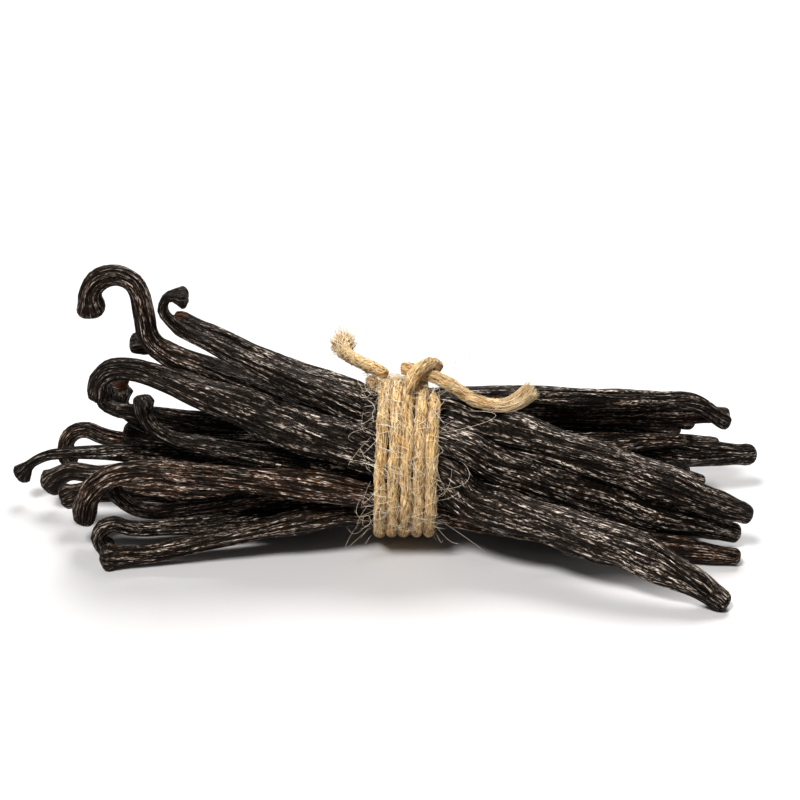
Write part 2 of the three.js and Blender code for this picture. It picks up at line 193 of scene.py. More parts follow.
@dataclass
class SectionLine:
    """The line of a pod or of a length of twine, with an oval section at each station.

    A section's outline is centre + first * cos(turn) + second * sin(turn).
    """

    centres: np.ndarray
    first: np.ndarray
    second: np.ndarray
    distances: np.ndarray = field(init=False)

    def __post_init__(self) -> None:
        """Measure how far along the line each station is."""
        steps = np.linalg.norm(np.diff(self.centres, axis=0), axis=1)
        self.distances = np.concatenate([[0.0], np.cumsum(steps)])

    @property
    def length(self) -> float:
        """The line's length."""
        return float(self.distances[-1])

    @classmethod
    def of_node(cls, node: bpy.types.Object, sides: int) -> "SectionLine":
        """Read the stations of a solid that is made of rings of corners between two end points.

        Args:
            node: The solid, from its start at the end with the lower x.
            sides: The number of corners in a ring.

        Returns:
            The line in millimetres.
        """
        rings = cls._rings(node, sides)
        turns = 2 * np.pi * np.arange(sides) / sides
        centres, first, second = [], [], []
        before = None
        for ring in rings:
            ring = cls._in_step(ring, before)
            before = ring - ring.mean(0)
            centres.append(ring.mean(0))
            first.append(2 / sides * (before * np.cos(turns)[:, None]).sum(0))
            second.append(2 / sides * (before * np.sin(turns)[:, None]).sum(0))
        return cls(np.array(centres), np.array(first), np.array(second))

    @staticmethod
    def _rings(node: bpy.types.Object, sides: int) -> list[np.ndarray]:
        """Walk a solid's mesh from its first end point, one ring of corners at a time.

        Args:
            node: The solid.
            sides: The number of corners in a ring.

        Returns:
            Each ring's corners in millimetres, in order round the ring.
        """
        mesh = bmesh.new()
        mesh.from_mesh(node.data)
        bmesh.ops.remove_doubles(mesh, verts=mesh.verts, dist=SOLID_WELD)
        ends = [v for v in mesh.verts if len(v.link_edges) == sides and _is_end(v)]
        start = min(ends, key=lambda v: v.co.x)
        seen = {start}
        level = [e.other_vert(start) for e in start.link_edges]
        rings = []
        while len(level) == sides:
            seen.update(level)
            rings.append(np.array([v.co[:] for v in _round_order(level)]) / MM)
            level = list({e.other_vert(v) for v in level for e in v.link_edges} - seen)
        mesh.free()
        return rings

    @staticmethod
    def _in_step(ring: np.ndarray, before: np.ndarray | None) -> np.ndarray:
        """Number a ring's corners from the one that continues the ring before it.

        Args:
            ring: The corners in order, either way round.
            before: The last ring's corners about their centre, if there is one.

        Returns:
            The same corners, in step with the last ring.
        """
        if before is None:
            return ring
        about = ring - ring.mean(0)
        choices = [
            np.roll(way, shift, axis=0) for way in (np.arange(len(ring)), np.arange(len(ring))[::-1])
            for shift in range(len(ring))
        ]
        best = min(choices, key=lambda order: np.abs(about[order] - before).sum())
        return ring[best]

    def reversed(self) -> "SectionLine":
        """The same line from its other end."""
        return SectionLine(self.centres[::-1], self.first[::-1], self.second[::-1])

    def at(self, distances: np.ndarray) -> tuple[np.ndarray, np.ndarray, np.ndarray, np.ndarray]:
        """Read places along the line.

        Args:
            distances: How far along, in millimetres.

        Returns:
            Centres, the two half axes, and the directions along the line.
        """
        centres = smooth_between(self.distances, self.centres, distances)
        first = smooth_between(self.distances, self.first, distances)
        second = smooth_between(self.distances, self.second, distances)
        return centres, first, second, unit(np.gradient(centres, axis=0))


def _is_end(vert: bmesh.types.BMVert) -> bool:
    """Tell an end point from a ring's corner: its neighbours form one closed ring."""
    around = {e.other_vert(vert) for e in vert.link_edges}
    return all(sum(e.other_vert(v) in around for e in v.link_edges) == 2 for v in around)


def _round_order(level: list[bmesh.types.BMVert]) -> list[bmesh.types.BMVert]:
    """Put a ring's corners in order by walking its edges.

    Args:
        level: The ring's corners in any order.

    Returns:
        The corners in order round the ring.
    """
    members = set(level)
    ordered = [level[0]]
    while len(ordered) < len(level):
        steps = [e.other_vert(ordered[-1]) for e in ordered[-1].link_edges]
        ordered.append(next(v for v in steps if v in members and v not in ordered))
    return ordered


class SkinNoise:
    """Smooth random values over a tube's skin, seamless round it."""

    def __init__(self, rng: np.random.Generator, along: float, around: float) -> None:
        """Fill the table of random values.

        Args:
            rng: The source of random values.
            along: Cells along the tube.
            around: Cells round the tube.
        """
        self.along = max(1, round(along))
        self.around = max(2, round(around))
        self.table = rng.uniform(-1, 1, (self.along + 4, self.around))

    def at(self, share: np.ndarray, turns: np.ndarray) -> np.ndarray:
        """Read the values.

        Args:
            share: How far along the tube, from 0 to 1.
            turns: How far round it, in turns.

        Returns:
            Values from about -1 to 1.
        """
        x = np.clip(share, 0, 1) * self.along
        y = turns * self.around
        i, j = np.floor(x).astype(int), np.floor(y).astype(int)
        rows, columns = self._weights(x - i), self._weights(y - j)
        total = np.zeros(np.broadcast(x, y).shape)
        for row, row_weight in enumerate(rows):
            for column, column_weight in enumerate(columns):
                value = self.table[i + row, (j + column - 1) % self.around]
                total += row_weight * column_weight * value
        return total

    @staticmethod
    def _weights(t: np.ndarray) -> tuple[np.ndarray, ...]:
        """The four weights of a smooth curve through evenly spaced values.

        Args:
            t: Where between the two middle values, from 0 to 1.

        Returns:
            The weights of the four values.
        """
        return (
            (-t + 2 * t**2 - t**3) / 2,
            (2 - 5 * t**2 + 3 * t**3) / 2,
            (t + 4 * t**2 - 3 * t**3) / 2,
            (t**3 - t**2) / 2,
        )


def wrap_sheets(
    name: str, sheets: list[np.ndarray], marks: dict[str, list[np.ndarray]]
) -> bpy.types.Object:
    """Make one object of tubes, each wrapped from a flat sheet of quads and closed at its ends.

    Args:
        name: The object's name.
        sheets: For each tube, its rings of points in millimetres. The end rings are single points.
        marks: Attribute name to its values for each tube, in rings as the points are.

    Returns:
        The object, with its place in its mesh.
    """
    flat = bmesh.new()
    for sheet in sheets:
        rings, sides = sheet.shape[:2]
        bmesh.ops.create_grid(flat, x_segments=sides, y_segments=rings - 1, size=1)
    mesh = bpy.data.meshes.new(name)
    flat.to_mesh(mesh)
    flat.free()
    places = np.zeros(len(mesh.vertices) * 3)
    mesh.vertices.foreach_get("co", places)
    places = places.reshape(-1, 3)
    order, start = [], 0
    for sheet in sheets:
        rings, sides = sheet.shape[:2]
        count = rings * (sides + 1)
        spot = (places[start : start + count, :2] + 1) / 2
        column = np.rint(spot[:, 0] * sides).astype(int) % sides
        row = np.rint(spot[:, 1] * (rings - 1)).astype(int)
        order.append((row, column))
        start += count
    lifted = np.concatenate([sheet[at] for sheet, at in zip(sheets, order)]) * MM
    # Nothing reaches below the table.
    lifted[:, 2] = np.maximum(lifted[:, 2], 0)
    mesh.vertices.foreach_set("co", lifted.ravel())
    for label, values in marks.items():
        kind = "FLOAT_VECTOR" if values[0].ndim == 3 else "FLOAT"
        layer = mesh.attributes.new(label, kind, "POINT")
        spread = np.concatenate([value[at] for value, at in zip(values, order)])
        layer.data.foreach_set("vector" if kind == "FLOAT_VECTOR" else "value", spread.ravel())
    closed = bmesh.new()
    closed.from_mesh(mesh)
    bmesh.ops.remove_doubles(closed, verts=closed.verts, dist=SKIN_WELD)
    bmesh.ops.dissolve_degenerate(closed, edges=closed.edges, dist=SKIN_WELD)
    bmesh.ops.recalc_face_normals(closed, faces=closed.faces)
    for face in closed.faces:
        face.smooth = True
    closed.to_mesh(mesh)
    closed.free()
    piece = bpy.data.objects.new(name, mesh)
    bpy.context.scene.collection.objects.link(piece)
    return piece


def place_piece(
    piece: bpy.types.Object, slot: str, material: bpy.types.Material, *nodes: str
) -> None:
    """Dress a finished piece, hang it on the body and hide the solids that it replaces.

    Args:
        piece: The piece, in its place.
        slot: A material slot's name; not used.
        material: Its finish.
        nodes: The solids that it replaces.
    """
    piece.data.materials.append(material)
    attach(piece, BODY)
    if nodes:
        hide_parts(*nodes)
    log.info("%s: %d faces", piece.name, len(piece.data.polygons))


# ---- Finishes ----------------------------------------------------------------------------------


class Shade(Enum):
    """How far a pod has darkened in curing."""

    BLACK = "black"
    BROWN = "brown"
    RUSSET = "russet"


@dataclass(frozen=True)
class Grain:
    """A cloudy or streaky pattern, by how many of its cells lie on a millimetre each way.

    The first way is along the pod or the twine, and the other two are across it.
    """

    cells: tuple[float, float, float]
    detail: float
    rough: float
    swirl: float = 0.0

    def read(self, sheet: NodeSheet, place: bpy.types.NodeSocket) -> bpy.types.NodeSocket:
        """Add the pattern to a material.

        Args:
            sheet: The material's nodes.
            place: The surface's own coordinates in millimetres.

        Returns:
            The pattern's value.
        """
        spaced = sheet.add("Mapping", {"Vector": place, "Scale": self.cells})
        shape = {"Detail": self.detail, "Roughness": self.rough, "Distortion": self.swirl}
        return sheet.add("TexNoise", {"Vector": spaced, "Scale": 1.0, **shape})


@dataclass(frozen=True)
class CuredSkin:
    """Cured vanilla skin: leathery, oily and finely furrowed, so it glints along its ridges; its colour
    adds painted glints, sheen and shade.
    """

    shade: Shade
    deep: str
    body: str
    ridge: str
    warm: str
    warm_share: float
    # The glint colour is a painted highlight: pale streaks painted on the crests.
    glint: str = "#f4e6d8"
    stalk: str = "#17110d"
    torn: str = "#4c2f1c"
    # Fine wrinkles are 0.4 mm wide, and run about 8 mm along the pod before they fade.
    wrinkles: Grain = Grain((0.12, 2.3, 2.3), 2.5, 0.6, 0.8)
    # Crinkles a good millimetre long break each ridge into separate glints.
    crinkles: Grain = Grain((0.85, 2.1, 2.1), 2.0, 0.6, 0.5)
    # Long furrows are 2 mm wide.
    furrows: Grain = Grain((0.05, 0.55, 0.55), 2.0, 0.5, 0.6)
    # Slivers on the crests, a quarter of a millimetre wide, carry painted glints, the palest colour of
    # all.
    slivers: Grain = Grain((0.75, 4.4, 4.4), 2.0, 0.55, 0.4)
    # Patches 5 mm across are drier or oilier, browner or blacker, and carry more or fewer painted
    # glints.
    patches: Grain = Grain((0.19, 0.19, 0.19), 3.0, 0.6)

    def build(self) -> bpy.types.Material:
        """Make the material.

        Returns:
            The material, which follows the skin's own coordinates in millimetres.
        """
        sheet = NodeSheet(f"cured_vanilla_skin_{self.shade.value}")
        skin = sheet.add("Attribute", {}, "Vector", attribute_name=SKIN_POINTS)
        stalk, torn, crest = (
            sheet.add("Attribute", {}, "Fac", attribute_name=name)
            for name in (STALK_SHARE, TORN_SHARE, CREST_SHARE)
        )
        wrinkle, crinkle, furrow, sliver, patch = (
            grain.read(sheet, skin)
            for grain in (self.wrinkles, self.crinkles, self.furrows, self.slivers, self.patches)
        )
        # Each pattern counts from its first number, and counts in full from its second.
        on_wrinkle, on_crinkle, on_sliver, warm = (
            sheet.add("MapRange", {"Value": value, "From Min": low, "From Max": high})
            for value, low, high in (
                (wrinkle, 0.43, 0.58),
                (crinkle, 0.36, 0.62),
                (sliver, 0.49, 0.65),
                (patch, 0.62 - 0.25 * self.warm_share, 0.72 - 0.2 * self.warm_share),
            )
        )
        # Painted shade: the skin keeps its deep colour in the mesh's own furrows and wrinkles, and in
        # the low streaks of the wrinkle pattern.
        lit = sheet.add("MapRange", {"Value": crest, "To Min": 0.3})
        on_ridge = sheet.add("Math", {0: on_wrinkle, 1: lit}, operation="MULTIPLY")
        bright = sheet.add("MapRange", {"Value": on_ridge, "From Min": 0.25, "From Max": 0.7})
        # Painted glints are fuller in some patches than in others.
        glint_patches = sheet.add(
            "MapRange", {"Value": patch, "From Min": 0.38, "From Max": 0.56, "To Min": 0.5}
        )
        # Painted sheen: the crinkle tops of the ridges take the lighter ridge colour, and are also the
        # glossiest.
        crest_sheen, warmth, shine = (
            sheet.add("Math", {0: first, 1: second}, operation="MULTIPLY")
            for first, second in ((on_ridge, on_crinkle), (warm, on_ridge), (on_sliver, bright))
        )
        # Painted glints: the glint colour on the crest slivers, in those patches.
        glint = sheet.add("Math", {0: shine, 1: glint_patches}, operation="MULTIPLY")
        # The deep colour is painted shade, the body colour the pod's own, the ridge colour painted sheen
        # and the glint colour a painted highlight.
        colour = linear(self.deep)
        for share, over in (
            (on_ridge, self.body), (crest_sheen, self.ridge), (warmth, self.warm),
            (glint, self.glint), (stalk, self.stalk), (torn, self.torn),
        ):
            colour = sheet.add("Mix", {0: share, 6: colour, 7: linear(over)}, 2, data_type="RGBA")
        # The valleys are dry and matt, and the crests are oily.
        dry = sheet.add(
            "MapRange",
            {"Value": patch, "From Min": 0.35, "From Max": 0.65, "To Min": 0.46, "To Max": 0.6},
        )
        oily = sheet.add("MapRange", {"Value": crest_sheen, "To Min": 0.0, "To Max": -0.24})
        rough = sheet.add("Math", {0: dry, 1: oily}, operation="ADD")
        # The furrows, the ridges between them and the crinkles on those, by strength and depth.
        below = {}
        for height, strength, depth in (
            (furrow, 0.8, 1.0), (on_ridge, 1.0, 0.34), (on_crinkle, 1.0, 0.2)
        ):
            relief = {"Strength": strength, "Distance": depth * MM, "Height": height}
            below = {"Normal": sheet.add("Bump", relief | below)}
        return sheet.finish(
            {
                "Base Color": colour, "Roughness": rough, "IOR": 1.45,
                "Specular IOR Level": 0.28, "Specular Tint": linear("#fff1e4"), **below,
            }
        )


@dataclass(frozen=True)
class JuteYarn:
    """Spun jute: dull, hairy and golden, with streaks of paler and browner fibre along each ply, and
    painted shade in the lowest.
    """

    name: str
    pale: str
    body: str
    shadow: str
    streak_scale: float = 1.0

    def build(self) -> bpy.types.Material:
        """Make the material.

        Returns:
            The material, which follows the yarn's own coordinates in millimetres.
        """
        sheet = NodeSheet(self.name)
        yarn = sheet.add("Attribute", {}, "Vector", attribute_name=YARN_POINTS)
        # Bundles of fibre in the yarn are about 0.4 mm wide and 4.5 mm long.
        bundles = (0.22 * self.streak_scale, 2.6 * self.streak_scale, 2.6)
        streak = Grain(bundles, 3.0, 0.65, 0.4).read(sheet, yarn)
        # Stretches 4 mm long are a little paler or darker.
        patch = Grain((0.25, 0.25, 0.25), 2.0, 0.5).read(sheet, yarn)
        # The lowest streaks, which the bump sinks, keep the shadow colour: painted shade between the
        # bundles.
        colour = linear(self.shadow)
        for low, high, over in ((0.36, 0.52, self.body), (0.52, 0.70, self.pale)):
            share = sheet.add("MapRange", {"Value": streak, "From Min": low, "From Max": high})
            colour = sheet.add("Mix", {0: share, 6: colour, 7: linear(over)}, 2, data_type="RGBA")
        tint = sheet.add(
            "MapRange",
            {"Value": patch, "From Min": 0.3, "From Max": 0.7, "To Min": 0.82, "To Max": 1.08},
        )
        colour = sheet.add("HueSaturation", {"Value": tint, "Color": colour})
        bump = sheet.add("Bump", {"Strength": 0.8, "Distance": 0.22 * MM, "Height": streak})
        return sheet.finish(
            {
                "Base Color": colour, "Roughness": 0.82, "IOR": 1.5, "Normal": bump,
                "Sheen Weight": 0.25, "Sheen Roughness": 0.5,
            }
        )


# ---- Pods --------------------------------------------------------------------------------------


class StemEnd(Enum):
    """How a pod's stem end is finished."""

    BLUNT = "blunt"
    TEE = "tee"
    BROKEN = "broken"


@dataclass(frozen=True)
class PodLook:
    """What sets one pod apart."""

    node: str
    shade: Shade
    stem_end: StemEnd = StemEnd.BLUNT


POD_LOOKS = (
    PodLook("pod_01", Shade.BLACK),
    PodLook("pod_02", Shade.BLACK, StemEnd.TEE),
    PodLook("pod_03", Shade.BLACK, StemEnd.BROKEN),
    PodLook("pod_04", Shade.BLACK),
    PodLook("pod_05", Shade.BLACK, StemEnd.TEE),
    PodLook("pod_06", Shade.BLACK, StemEnd.BROKEN),
    PodLook("pod_07", Shade.RUSSET),
    PodLook("pod_08", Shade.BROWN),
    PodLook("pod_09", Shade.BROWN),
    PodLook("pod_10", Shade.BLACK),
    PodLook("pod_11", Shade.BROWN),
    PodLook("pod_12", Shade.RUSSET),
    PodLook("pod_13", Shade.BROWN),
    PodLook("pod_14", Shade.RUSSET),
    PodLook("pod_15", Shade.BLACK, StemEnd.TEE),
    PodLook("pod_16", Shade.BLACK, StemEnd.TEE),
    PodLook("pod_17", Shade.RUSSET),
    PodLook("pod_18", Shade.BROWN),
    PodLook("pod_19", Shade.BLACK),
)

# How much wider than its outline each kind of stem end is, as a share. Below 0 is narrower.
END_GROWTH = {StemEnd.BLUNT: -0.05, StemEnd.TEE: 0.05, StemEnd.BROKEN: -0.04}

# Each skin's deep colour is painted shade for its furrows, and its ridge colour painted sheen for its
# crests.
SKINS = (
    CuredSkin(
        Shade.BLACK, deep="#010100", body="#1c130c", ridge="#4a3a2d", warm="#4a3120", warm_share=0.2
    ),
    CuredSkin(
        Shade.BROWN, deep="#020100", body="#23170e", ridge="#4d3928", warm="#50321e", warm_share=0.55
    ),
    CuredSkin(
        Shade.RUSSET, deep="#020100", body="#28180e", ridge="#523926", warm="#583720", warm_share=0.9
    ),
)


@dataclass
class SkinGrid:
    """Where a pod's skin points lie: as shares of its length, and as turns round it."""

    share: np.ndarray
    turns: np.ndarray
    length: float
    rng: np.random.Generator

    def noise(self, run: float, around: float, turns: np.ndarray | None = None) -> np.ndarray:
        """Draw smooth random values over the skin.

        Args:
            run: How long a swing of them is, in millimetres along the pod.
            around: How many cells of them lie round it.
            turns: Where to read them round the pod, if they don't run straight along it.

        Returns:
            A value for each point, from about -1 to 1.
        """
        turns = self.turns if turns is None else turns
        return SkinNoise(self.rng, self.length / run, around).at(self.share, turns)


@dataclass
class VanillaPod:
    """One cured pod: a furrowed skin over its solid's line, with a knobbly stem end and a blunt tip."""

    look: PodLook
    solid: bpy.types.Object
    seed: int
    solid_sides: int = 9
    sides: int = 132
    ring_step: float = 1.3
    cap_rings: int = 7
    # How far each end's cap rises, as a share of the half width there, and how ragged its rim is.
    stem_dome: float = 0.7
    tip_dome: float = 0.6
    whole_rim: float = 0.35
    rim_jag: float = 0.9
    # Lumps, furrows and wrinkles: their size or depth, their spacing round the pod, their length
    # along it, and how much of the way to the next one a furrow or a wrinkle takes up.
    lump: float = 0.105
    lump_length: float = 6.0
    furrow_spacing: float = 1.5
    furrow_depth: float = 0.42
    furrow_length: float = 26.0
    furrow_width: float = 0.24
    wrinkle_spacing: float = 0.55
    wrinkle_depth: float = 0.2
    wrinkle_length: float = 7.0
    wrinkle_width: float = 0.26
    # Stretches this long have shallower or deeper wrinkles than the next.
    calm_length: float = 12.0
    # Where a pod's half width is less than this, its furrows are shallower.
    thick_half: float = 3.2
    # How many turns the furrows wander round the pod, and over what lengths.
    twist: float = 0.22
    sway: float = 0.035
    sway_length: float = 16.0
    wave: float = 0.008
    wave_length: float = 5.0
    # The ends are knobblier than the middle, by this much and over this length.
    stem_knobs: float = 1.3
    stem_knob_reach: float = 13.0
    tip_knobs: float = 0.9
    tip_knob_reach: float = 11.0
    # The scar at the stem end, the collar round the tip with the neck behind it, and how far the
    # dark of the stalk and the brown of a torn end reach along the pod.
    scar_reach: float = 1.7
    scar_knobs: float = 0.3
    tee_width: float = 0.5
    tip_collar: float = 0.1
    collar_knobs: float = 0.12
    neck: float = 0.3
    stalk_length: float = 9.0
    stalk_dark: float = 0.6
    torn_length: float = 0.7
    # Neighbouring pods read their patterns this far apart.
    pattern_gap: float = 61.0

    def build(self, finishes: dict[Shade, bpy.types.Material]) -> bpy.types.Object:
        """Make the pod and put it in its solid's place.

        Args:
            finishes: The skin for each shade.

        Returns:
            The finished piece.
        """
        line = SectionLine.of_node(self.solid, self.solid_sides)
        points, marks = self._surface(line, np.random.default_rng(self.seed))
        piece = wrap_sheets(f"vanilla_{self.look.node}", [points], marks)
        place_piece(piece, POD_SLOT, finishes[self.look.shade], self.look.node)
        return piece

    def _surface(
        self, line: SectionLine, rng: np.random.Generator
    ) -> tuple[np.ndarray, dict[str, list[np.ndarray]]]:
        """Work out the skin's points and marks.

        Args:
            line: The solid's line.
            rng: The pod's own random values.

        Returns:
            The points in rings, and the marks as wrap_sheets takes them.
        """
        body_rings = max(24, round(line.length / self.ring_step))
        body = np.linspace(0, line.length, body_rings)
        centres, first, second, along = line.at(body)
        half = (np.linalg.norm(first, axis=1) + np.linalg.norm(second, axis=1)) / 2
        # Rings of the two end caps, from the pole to the rim, and of the body between them.
        cap = np.linspace(0, 1, self.cap_rings, endpoint=False)
        width, height = self._dome(cap), np.sqrt(1 - cap**2)
        flat = np.zeros(body_rings)
        index = np.pad(np.arange(body_rings), self.cap_rings, mode="edge")
        spread = np.concatenate([width, flat + 1, width[::-1]])[:, None]
        stem_rise, tip_rise = -self.stem_dome * half[0], self.tip_dome * half[-1]
        rise = np.concatenate([stem_rise * height, flat, tip_rise * height[::-1]])[:, None]
        distance = body[index][:, None] + rise
        share = np.clip(distance / line.length, 0, 1)
        turns = np.arange(self.sides)[None, :] / self.sides
        grid = SkinGrid(share, turns, line.length, rng)
        angle = 2 * np.pi * turns
        outline = (
            first[index][:, None] * np.cos(angle)[..., None]
            + second[index][:, None] * np.sin(angle)[..., None]
        )
        drift = self._drift(grid)
        relief, crest = self._relief(grid, drift, half[index][:, None])
        flare = self._flare(grid, distance)
        offset = outline * flare[..., None] + unit(outline) * relief[..., None]
        ragged = SkinNoise(rng, 6, 9).at(share * 0 + spread, turns)
        broken = self.look.stem_end is StemEnd.BROKEN
        rim = (1.0 if broken else self.whole_rim) * (1 - spread)
        jag = ragged * rim * self.rim_jag * (distance < line.length / 2)
        points = (
            centres[index][:, None]
            + offset * spread[..., None]
            + along[index][:, None] * (rise + jag)[..., None]
        )
        points[0] = points[0].mean(0)
        points[-1] = points[-1].mean(0)
        radius = np.median(half) * spread
        wander = 2 * np.pi * drift
        start = self.pattern_gap * self.seed
        skin = np.broadcast_arrays(distance + start, radius * np.cos(wander), radius * np.sin(wander))
        reach = self.stalk_length * (1 + 0.4 * grid.noise(line.length / 4, 5))
        stalk = smooth_step(1 - distance / reach) * self.stalk_dark
        torn = smooth_step(self.torn_length - distance + self.rim_jag * ragged) * broken
        return points, {
            SKIN_POINTS: [np.stack(skin, axis=-1)], STALK_SHARE: [stalk],
            TORN_SHARE: [torn], CREST_SHARE: [crest],
        }

    @staticmethod
    def _dome(share: np.ndarray) -> np.ndarray:
        """How wide a blunt end cap is, by the way from its pole, 0, to its rim, 1."""
        return np.sqrt(share) * (1 - 0.25 * (1 - share))

    def _drift(self, grid: SkinGrid) -> np.ndarray:
        """Let the wrinkles wander round the pod as they run along it.

        Args:
            grid: Where the skin's points lie.

        Returns:
            The turn that each point's wrinkle started from.
        """
        twist = grid.rng.uniform(-self.twist, self.twist)
        sway = self.sway * grid.noise(self.sway_length, 3)
        return grid.turns + twist * grid.share + sway + self.wave * grid.noise(self.wave_length, 7)

    def _relief(
        self, grid: SkinGrid, drift: np.ndarray, half: np.ndarray
    ) -> tuple[np.ndarray, np.ndarray]:
        """How far the skin stands off its smooth outline, in millimetres.

        Args:
            grid: Where the skin's points lie.
            drift: The turn that each point's wrinkle started from.
            half: The pod's half width at each ring.

        Returns:
            The offset of each point, and how far it is out of the furrows and wrinkles, which sets the
            painted shade in the skin's colour.
        """
        girth = 2 * np.pi * float(half.max())
        at_stem = self.stem_knobs * fade(grid.share * grid.length, self.stem_knob_reach)
        at_tip = self.tip_knobs * fade((1 - grid.share) * grid.length, self.tip_knob_reach)
        lumps = grid.noise(self.lump_length, 3)
        furrows = grid.noise(self.furrow_length, girth / self.furrow_spacing, drift)
        wrinkles = grid.noise(self.wrinkle_length, girth / self.wrinkle_spacing, drift)
        # Calm stretches have shallow wrinkles, and the skin swells between the furrows.
        calm = 0.65 + 0.35 * grid.noise(self.calm_length, 4)
        swell = 0.25 + 0.35 * np.abs(furrows)
        deep, fine = fade(furrows, self.furrow_width), fade(wrinkles, self.wrinkle_width)
        offset = np.clip(half / self.thick_half, 0.35, 1.15) * (
            self.lump * half * (1 + at_stem + at_tip) * lumps
            + self.furrow_depth * (swell - deep)
            + self.wrinkle_depth * calm * (0.4 - fine)
        )
        return offset, 1 - np.clip(0.9 * deep + 0.75 * calm * fine, 0, 1)

    def _flare(self, grid: SkinGrid, distance: np.ndarray) -> np.ndarray:
        """How much wider than its outline each end is, with the lumps of its scar.

        Args:
            grid: Where the skin's points lie.
            distance: How far each ring is from the stem end.

        Returns:
            A factor for each point.
        """
        close = fade(np.maximum(distance, 0), self.scar_reach)
        knobs = grid.noise(3, 6)
        from_tip = grid.length - distance
        collar = fade(from_tip - 0.9, 1.1) - self.neck * fade(from_tip - 4.4, 1.8)
        flare = 1 + close * (END_GROWTH[self.look.stem_end] + self.scar_knobs * knobs)
        collar_growth = self.tip_collar * grid.rng.uniform(0, 1) + self.collar_knobs * knobs
        flare = flare + collar * collar_growth
        if self.look.stem_end is StemEnd.TEE:
            across = np.cos(2 * np.pi * grid.turns - grid.rng.uniform(0, 0.6))
            flare = flare + self.tee_width * close * (across**2 * (1 + 0.25 * across) - 0.25)
        return flare


@dataclass
class PodBundle:
    """All the pods."""

    solids: dict[str, bpy.types.Object]
    first_seed: int = 11

    def build(self) -> list[bpy.types.Object]:
        """Make every pod.

        Returns:
            The pods, in the order of their solids.
        """
        finishes = {skin.shade: skin.build() for skin in SKINS}
        return [
            VanillaPod(look, self.solids[look.node], self.first_seed + i).build(finishes)
            for i, look in enumerate(POD_LOOKS)
        ]


# ---- Twine -------------------------------------------------------------------------------------


@dataclass(frozen=True)
class Fray:
    """How a tail's cut end is frayed: how many fibres, and how far they reach out and spread."""

    fibres: int
    reach: float
    spread: float


